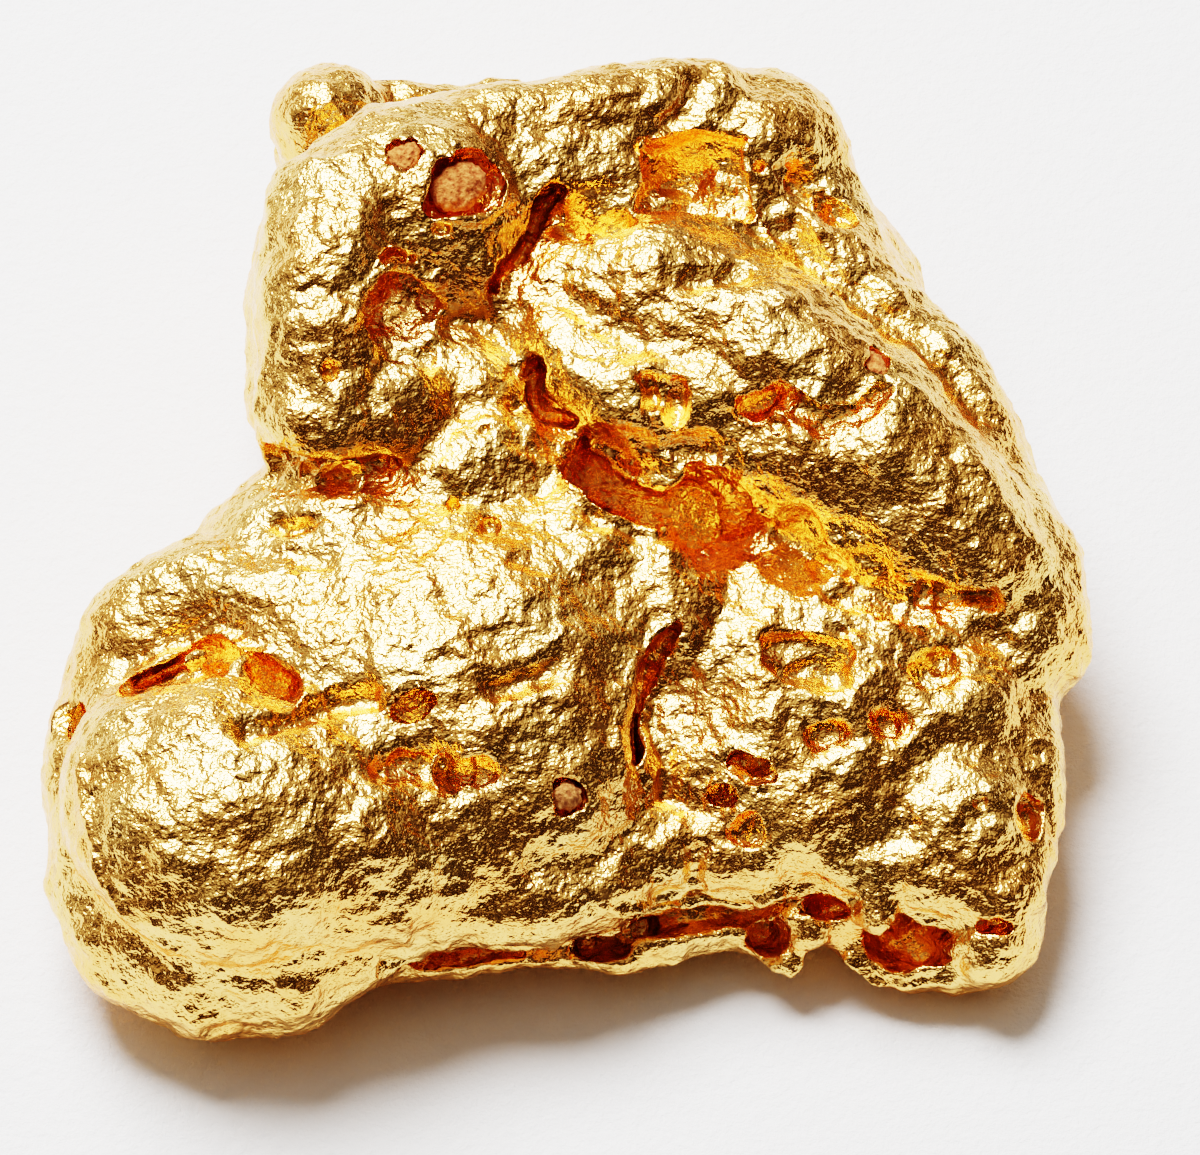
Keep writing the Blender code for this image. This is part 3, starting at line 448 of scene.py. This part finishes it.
def flat_block(name, outline, thickness):
    """The mesh of a flat block with that outline, its mid-plane at Z = 0."""
    curve = bpy.data.curves.new(name, "CURVE")
    curve.dimensions = "2D"
    curve.fill_mode = "BOTH"
    curve.extrude = thickness / 2
    spline = curve.splines.new("POLY")
    spline.points.add(len(outline) - 1)
    for point, (x, y) in zip(spline.points, outline):
        point.co = (x, y, 0.0, 1.0)
    spline.use_cyclic_u = True
    guide = bpy.data.objects.new(name, curve)
    bpy.context.scene.collection.objects.link(guide)
    graph = bpy.context.evaluated_depsgraph_get()
    mesh = bpy.data.meshes.new_from_object(guide.evaluated_get(graph))
    bpy.data.objects.remove(guide)
    return mesh


def add_windows(windows, tree, bm):
    """Adds a block to bm for each outline, running in from above the skin as the photograph looks."""
    turn = Matrix.Rotation(math.radians(90.0 - VIEW_ELEVATION_DEG), 4, "X")
    look = view_direction()
    for name, (depth, outline) in windows.items():
        skin = [seen_on_skin(tree, across, up) for across, up in outline]
        far = max(place.dot(look) for place in skin) + depth
        near = min(place.dot(look) for place in skin) - WINDOW_RISE
        mesh = flat_block(name, outline, far - near)
        middle = seen(0.0, 0.0, 0.0)
        middle += look * ((far + near) / 2 - middle.dot(look))
        mesh.transform(Matrix.Translation(middle) @ turn)
        bm.from_mesh(mesh)
        bpy.data.meshes.remove(mesh)
    bmesh.ops.remove_doubles(bm, verts=bm.verts, dist=WELD)


def add_pits(pits, tree, bm):
    """Adds a lumpy ball to bm for each pit, sunk into the skin where the photograph shows it."""
    upright = Matrix.Rotation(math.radians(90.0 - VIEW_ELEVATION_DEG), 4, "X")
    for across, up, half_width, half_height, turn, depth, lean in pits:
        place = seen_on_skin(tree, across, up)
        turned = upright @ Matrix.Rotation(math.radians(lean), 4, "X")
        turned = turned @ Matrix.Rotation(math.radians(turn), 4, "Z")
        size = Matrix.Diagonal((half_width, half_height, depth, 1.0))
        ball = bmesh.ops.create_icosphere(bm, subdivisions=PIT_FINENESS, radius=1.0)["verts"]
        for vert in ball:
            vert.co *= 1.0 + PIT_WOBBLE * noise.noise(vert.co * PIT_WOBBLE_SCALE + place)
        bmesh.ops.transform(bm, verts=ball, matrix=Matrix.Translation(place) @ turned @ size)


def add_rims(rims, tree, made):
    """Adds thin rims along the skin to the object, as rows of small balls."""
    balls = bmesh.new()
    for radius, rise, points in rims.values():
        for place in line_on_skin(tree, points, radius * RIM_SPACING):
            middle = Matrix.Translation(Vector(place) - view_direction() * rise)
            bmesh.ops.create_icosphere(balls, subdivisions=ROLL_FINENESS, radius=radius, matrix=middle)
    rows = bpy.data.meshes.new("rims")
    balls.to_mesh(rows)
    balls.free()
    skin = bmesh.new()
    skin.from_mesh(made.data)
    skin.from_mesh(rows)
    skin.to_mesh(made.data)
    skin.free()
    bpy.data.meshes.remove(rows)


def evaluated(made):
    """Gives an object the mesh that its modifiers make."""
    graph = bpy.context.evaluated_depsgraph_get()
    graph.update()
    mesh = bpy.data.meshes.new_from_object(made.evaluated_get(graph))
    made.modifiers.clear()
    old, made.data = made.data, mesh
    bpy.data.meshes.remove(old)


def merge_skin(made, cell):
    """Turns everything in the object into one even skin."""
    remesh = made.modifiers.new("skin", "REMESH")
    remesh.mode = "VOXEL"
    remesh.voxel_size = cell
    evaluated(made)


def soften(made, rounds, swell):
    """Rounds the skin off, then swells it by as much as that took away."""
    smooth = made.modifiers.new("soften", "SMOOTH")
    smooth.iterations = rounds
    grow = made.modifiers.new("swell", "DISPLACE")
    grow.strength = swell
    grow.mid_level = 0.0
    evaluated(made)


def skin_tree(made):
    """A search tree of the object's skin, for finding what a line of sight meets."""
    skin = bmesh.new()
    skin.from_mesh(made.data)
    tree = BVHTree.FromBMesh(skin)
    skin.free()
    return tree


def seen_on_skin(tree, across, up):
    """The place on the skin that shows at (across, up) in the photograph."""
    start = seen(across, up, 0.0) - view_direction() * VIEW_DISTANCE
    return tree.ray_cast(start, view_direction())[0]


def line_on_skin(tree, points, spacing):
    """Points close together where a line drawn on the photograph falls on the skin.

    A line may run off the edge of the object, and has no point there.
    """
    found = []
    for first, last in zip(points, points[1:]):
        steps = max(1, math.ceil(math.dist(first, last) / spacing))
        for step in range(steps + 1):
            share = step / steps
            across = first[0] + (last[0] - first[0]) * share
            up = first[1] + (last[1] - first[1]) * share
            place = seen_on_skin(tree, across, up)
            if place is not None:
                found.append(place)
    return np.array(found)


def vertex_values(mesh, name):
    """A three-number value of every vertex, as rows."""
    values = np.empty(len(mesh.vertices) * 3, np.float32)
    mesh.vertices.foreach_get(name, values)
    return values.reshape(-1, 3)


def press_lines(made, presses):
    """Sinks every line of presses into the skin, deepest along the line; a depth below 0 raises it."""
    tree = skin_tree(made)
    places = vertex_values(made.data, "co")
    normals = vertex_values(made.data, "normal")
    sink = np.zeros(len(places), np.float32)
    rise = np.zeros(len(places), np.float32)
    for width, depth, points in presses.values():
        line = line_on_skin(tree, points, width / 2)
        low = line.min(axis=0) - PRESS_REACH * width
        high = line.max(axis=0) + PRESS_REACH * width
        near = np.nonzero(np.all((places > low) & (places < high), axis=1))[0]
        gaps = np.full(len(near), np.inf, np.float32)
        for point in line:
            np.minimum(gaps, np.linalg.norm(places[near] - point, axis=1), out=gaps)
        moved = abs(depth) * np.exp(-((gaps / width) ** 2))
        side = sink if depth > 0 else rise
        side[near] = np.maximum(side[near], moved)
    places += normals * (rise - sink)[:, None]
    made.data.vertices.foreach_set("co", places.ravel())
    made.data.update()


def cut_out(made, cutter):
    """Takes the cutter's shape out of an object."""
    cut = made.modifiers.new("cut", "BOOLEAN")
    cut.operation = "DIFFERENCE"
    cut.solver = "MANIFOLD"
    cut.object = cutter
    evaluated(made)
    bpy.data.objects.remove(cutter)


def roughen(made, layers):
    """Gives the skin its unevenness, one layer after another.

    A layer of the kind SHIFT moves the skin sideways as well, so that edges run unevenly.
    """
    for name, (kind, size, strength) in layers.items():
        texture = bpy.data.textures.new(name, "VORONOI" if kind == "CELLS" else "CLOUDS")
        texture.noise_scale = size
        displace = made.modifiers.new(name, "DISPLACE")
        displace.texture = texture
        displace.strength = strength
        if kind == "CELLS":
            texture.weight_1 = -1.0
            texture.weight_2 = 1.0
            displace.mid_level = CELL_MIDDLE
        else:
            texture.noise_depth = NOISE_LAYERS
        if kind == "SHIFT":
            texture.cloud_type = "COLOR"
            displace.direction = "RGB_TO_XYZ"
        elif kind == "HARD":
            texture.noise_type = "HARD_NOISE"
        if name in WRINKLED_LAYERS:
            displace.vertex_group = "wrinkled"
    evaluated(made)


def mark_wrinkled(made):
    """Weights the skin by how crumpled it is: most on the slab, the body's middle and the plate."""
    places = vertex_values(made.data, "co")
    weights = np.full(len(places), LEAST_WRINKLED, np.float32)
    for across, up, height, radius in WRINKLED_SPOTS:
        gaps = np.linalg.norm(places - np.array(seen(across, up, height)), axis=1)
        weights = np.maximum(weights, np.exp(-((gaps / radius) ** 4)))
    group = made.vertex_groups.new(name="wrinkled")
    levels = np.round(weights * WEIGHT_LEVELS).astype(int)
    for level in range(1, WEIGHT_LEVELS + 1):
        chosen = np.nonzero(levels == level)[0].tolist()
        if chosen:
            group.add(chosen, level / WEIGHT_LEVELS, "REPLACE")


def mark_hollows(made, tree):
    """Records how deep every vertex lies under the skin as it was before the cuts."""
    mesh = made.data
    depths = []
    for vert in mesh.vertices:
        place, normal = tree.find_nearest(vert.co)[:2]
        depths.append(max(0.0, (place - vert.co).dot(normal)))
    # This depth is the mask for the painted glow of bounced light in the hollows
    mesh.attributes.new("hollow", "FLOAT", "POINT").data.foreach_set("value", depths)


def thin_out(made, wanted):
    """Brings the object down to about the wanted number of triangles."""
    triangles = sum(len(face.vertices) - 2 for face in made.data.polygons)
    decimate = made.modifiers.new("thin out", "DECIMATE")
    decimate.ratio = min(1.0, wanted / triangles)
    evaluated(made)


def stand_flat(made):
    """Cuts the underside off level with the table."""
    skin = bmesh.new()
    skin.from_mesh(made.data)
    parts = skin.verts[:] + skin.edges[:] + skin.faces[:]
    cut = bmesh.ops.bisect_plane(skin, geom=parts, plane_co=(0, 0, 0), plane_no=(0, 0, -1), clear_outer=True)
    edges = [part for part in cut["geom_cut"] if isinstance(part, bmesh.types.BMEdge)]
    bmesh.ops.holes_fill(skin, edges=edges)
    bmesh.ops.triangulate(skin, faces=skin.faces[:])
    skin.to_mesh(made.data)
    skin.free()


def cut_seats(made):
    """Sinks the seat of each bit of clay into the skin."""
    tree = skin_tree(made)
    for name, (radii, rise) in CLAY_SEATS.items():
        low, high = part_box(name)
        middle = (Vector(low) + Vector(high)) / 2 / METRES_PER_MM
        normal = tree.find_nearest(middle)[1]
        seat = Matrix.LocRotScale(middle + normal * rise, normal.to_track_quat("Z", "Y"), radii)
        ball = bmesh.new()
        bmesh.ops.create_icosphere(ball, subdivisions=PIT_FINENESS, radius=1.0)
        for vert in ball.verts:
            vert.co *= 1.0 + SEAT_WOBBLE * noise.noise(vert.co * PIT_WOBBLE_SCALE + middle)
        ball.transform(seat)
        cut_out(made, add_object("seat", ball))


def make_nugget():
    """The nugget's mesh, on a fine crumpled skin."""
    solid = bmesh.new()
    add_lumps(LUMPS, solid)
    add_rolls(ROLLS, solid)
    nugget = add_object("gold_nugget", solid)
    merge_skin(nugget, FORM_CELL)
    soften(nugget, SMOOTHING_ROUNDS, SWELL)

    space = bmesh.new()
    add_rolls(HOLLOWS, space)
    whole = skin_tree(nugget)
    add_windows(WINDOWS, whole, space)
    add_pits(SCOOPS + PITS, whole, space)
    hollows = add_object("hollows", space)
    merge_skin(hollows, CUTTER_CELL)
    cut_out(nugget, hollows)
    add_rims(RIMS, whole, nugget)

    merge_skin(nugget, SKIN_CELL)
    press_lines(nugget, PRESSES)
    mark_wrinkled(nugget)
    roughen(nugget, UNEVENNESS)
    thin_out(nugget, NUGGET_TRIANGLES)
    mark_hollows(nugget, whole)
    cut_seats(nugget)
    stand_flat(nugget)
    nugget.data.transform(Matrix.Scale(METRES_PER_MM, 4))
    nugget.data.shade_smooth()
    return nugget


def new_material(name):
    """A material with its nodes, and its shader."""
    material = bpy.data.materials.new(name)
    material.use_nodes = True
    return material, material.node_tree.nodes["Principled BSDF"]


def add_noise(tree, scale, detail, roughness):
    """A noise texture node over the object's own metres."""
    place = tree.nodes.new("ShaderNodeTexCoord")
    made = tree.nodes.new("ShaderNodeTexNoise")
    made.inputs["Scale"].default_value = scale
    made.inputs["Detail"].default_value = detail
    made.inputs["Roughness"].default_value = roughness
    tree.links.new(place.outputs["Object"], made.inputs["Vector"])
    return made


def add_ramp(tree, share, low, high):
    """A ramp between two colours, each given with where it starts."""
    made = tree.nodes.new("ShaderNodeValToRGB")
    first, last = made.color_ramp.elements
    first.position, first.color = low
    last.position, last.color = high
    tree.links.new(share, made.inputs["Fac"])
    return made


def add_bump(tree, height, distance, strength=1.0, under=None):
    """A bump node, lying over another one where under is given."""
    bump = tree.nodes.new("ShaderNodeBump")
    bump.inputs["Distance"].default_value = distance
    bump.inputs["Strength"].default_value = strength
    tree.links.new(height, bump.inputs["Height"])
    if under is not None:
        tree.links.new(under.outputs["Normal"], bump.inputs["Normal"])
    return bump


def gold_material():
    """Worn native gold with a fine wrinkled grain, with a deeper orange painted into its hollows as the glow
    of light bounced inside them.
    """
    material, shader = new_material("worn_gold")
    tree = material.node_tree
    shader.inputs["Metallic"].default_value = 1.0
    colour = add_ramp(tree, add_noise(tree, *PATCHES).outputs["Fac"], GOLD_DEEP, GOLD_PALE)
    # Painted glow: the deeper a point lies in a hollow, the more of the deeper orange is mixed in for light
    # bounced inside it
    hollow = tree.nodes.new("ShaderNodeAttribute")
    hollow.attribute_name = "hollow"
    deep = tree.nodes.new("ShaderNodeMapRange")
    deep.inputs["From Min"].default_value, deep.inputs["From Max"].default_value = PAINTED_GLOW_DEPTHS
    tree.links.new(hollow.outputs["Fac"], deep.inputs["Value"])
    painted_glow_mix = tree.nodes.new("ShaderNodeMix")
    painted_glow_mix.data_type = "RGBA"
    painted_glow_mix.inputs["B"].default_value = GOLD_PAINTED_GLOW
    tree.links.new(deep.outputs["Result"], painted_glow_mix.inputs["Factor"])
    tree.links.new(colour.outputs["Color"], painted_glow_mix.inputs["A"])
    tree.links.new(painted_glow_mix.outputs["Result"], shader.inputs["Base Color"])
    rough = tree.nodes.new("ShaderNodeMapRange")
    rough.inputs["To Min"].default_value, rough.inputs["To Max"].default_value = GOLD_ROUGHNESS
    tree.links.new(add_noise(tree, *SMEARS).outputs["Fac"], rough.inputs["Value"])
    tree.links.new(rough.outputs["Result"], shader.inputs["Roughness"])
    wrinkles = add_bump(tree, add_noise(tree, *WRINKLES).outputs["Fac"], WRINKLES_HEIGHT)
    grain = add_bump(tree, add_noise(tree, *GRAIN).outputs["Fac"], GRAIN_HEIGHT, under=wrinkles)
    tree.links.new(grain.outputs["Normal"], shader.inputs["Normal"])
    return material


def clay_material(name, dark, light):
    """Dull baked clay of mixed grains."""
    material, shader = new_material(name)
    tree = material.node_tree
    shader.inputs["Roughness"].default_value = CLAY_ROUGHNESS
    grains = add_noise(tree, *CLAY_GRAINS)
    colour = add_ramp(tree, grains.outputs["Fac"], dark, light)
    tree.links.new(colour.outputs["Color"], shader.inputs["Base Color"])
    bump = add_bump(tree, grains.outputs["Fac"], CLAY_GRAINS_HEIGHT)
    tree.links.new(bump.outputs["Normal"], shader.inputs["Normal"])
    return material


def paper_material():
    """White paper with a faint tooth."""
    material, shader = new_material("paper")
    tree = material.node_tree
    shader.inputs["Base Color"].default_value = PAPER_COLOUR
    shader.inputs["Roughness"].default_value = 1.0
    shader.inputs["Specular IOR Level"].default_value = PAPER_GLOSS
    tooth = add_noise(tree, *PAPER_TOOTH)
    bump = add_bump(tree, tooth.outputs["Fac"], PAPER_TOOTH_HEIGHT, PAPER_BUMP_STRENGTH)
    tree.links.new(bump.outputs["Normal"], shader.inputs["Normal"])
    return material


def make_clay_bit(name):
    """A granular bit of clay where the CAD has a smooth one."""
    shape = bmesh.new()
    shape.from_mesh(bpy.data.objects[name].data)
    shape.transform(Matrix.Scale(1 / METRES_PER_MM, 4))
    bmesh.ops.remove_doubles(shape, verts=shape.verts, dist=WELD)
    bmesh.ops.subdivide_edges(shape, edges=shape.edges[:], cuts=CLAY_CUTS, use_grid_fill=True)
    made = add_object(name + "_grains", shape)
    roughen(made, CLAY_UNEVENNESS)
    made.data.transform(Matrix.Scale(METRES_PER_MM, 4))
    made.data.shade_smooth()
    return made


def make_floor():
    """The sheet of paper that the nugget lies on."""
    bpy.ops.mesh.primitive_plane_add(size=FLOOR_SIZE)
    floor = bpy.context.object
    floor.name = "paper"
    floor.data.materials.append(paper_material())


def make_camera():
    """A camera far off with a long lens, at the photograph's angle, on the photograph's frame."""
    data = bpy.data.cameras.new("camera")
    data.lens = SENSOR * CAMERA_DISTANCE / PHOTO_WIDTH
    data.sensor_width = SENSOR
    camera = bpy.data.objects.new("camera", data)
    aim = seen(0.0, 0.0, 0.0) * METRES_PER_MM
    camera.location = aim - view_direction() * CAMERA_DISTANCE
    camera.rotation_euler = (math.radians(90.0 - VIEW_ELEVATION_DEG), 0.0, 0.0)
    bpy.context.scene.collection.objects.link(camera)
    bpy.context.scene.camera = camera


def make_light():
    """A large soft light behind the nugget and to its left, in dim surroundings."""
    data = bpy.data.lights.new("soft_light", "AREA")
    data.shape = "DISK"
    data.size = LIGHT_SIZE
    data.energy = LIGHT_POWER
    light = bpy.data.objects.new("soft_light", data)
    light.location = Vector(LIGHT_FROM).normalized() * LIGHT_DISTANCE
    light.rotation_euler = (-light.location).to_track_quat("-Z", "Y").to_euler()
    bpy.context.scene.collection.objects.link(light)
    world = bpy.data.worlds.new("surroundings")
    world.use_nodes = True
    tree = world.node_tree
    place = tree.nodes.new("ShaderNodeTexCoord")
    nearness = tree.nodes.new("ShaderNodeVectorMath")
    nearness.operation = "DOT_PRODUCT"
    nearness.inputs[1].default_value = Vector(LIGHT_FROM).normalized()
    tree.links.new(place.outputs["Generated"], nearness.inputs[0])
    sky = add_ramp(tree, nearness.outputs["Value"], SURROUNDINGS_FAR, SURROUNDINGS_NEAR)
    tree.links.new(sky.outputs["Color"], tree.nodes["Background"].inputs["Color"])
    bpy.context.scene.world = world
    bpy.context.scene.view_settings.view_transform = "Filmic"
    bpy.context.scene.view_settings.look = CONTRAST
    bpy.context.scene.view_settings.exposure = EXPOSURE


def add_piece(piece, node, material):
    """Sets a piece up in place of its CAD node."""
    piece.data.materials.clear()
    piece.data.materials.append(material)
    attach(piece, "root")
    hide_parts(node)


def main():
    make_camera()
    make_light()
    make_floor()
    add_piece(make_nugget(), "nugget", gold_material())
    clays = {slot: clay_material(slot, *colours) for slot, colours in CLAY_COLOURS.items()}
    for name in CLAY_SEATS:
        slot = "brown_grain" if name == "brown_grain" else "clay"
        add_piece(make_clay_bit(name), name, clays[slot])


main()
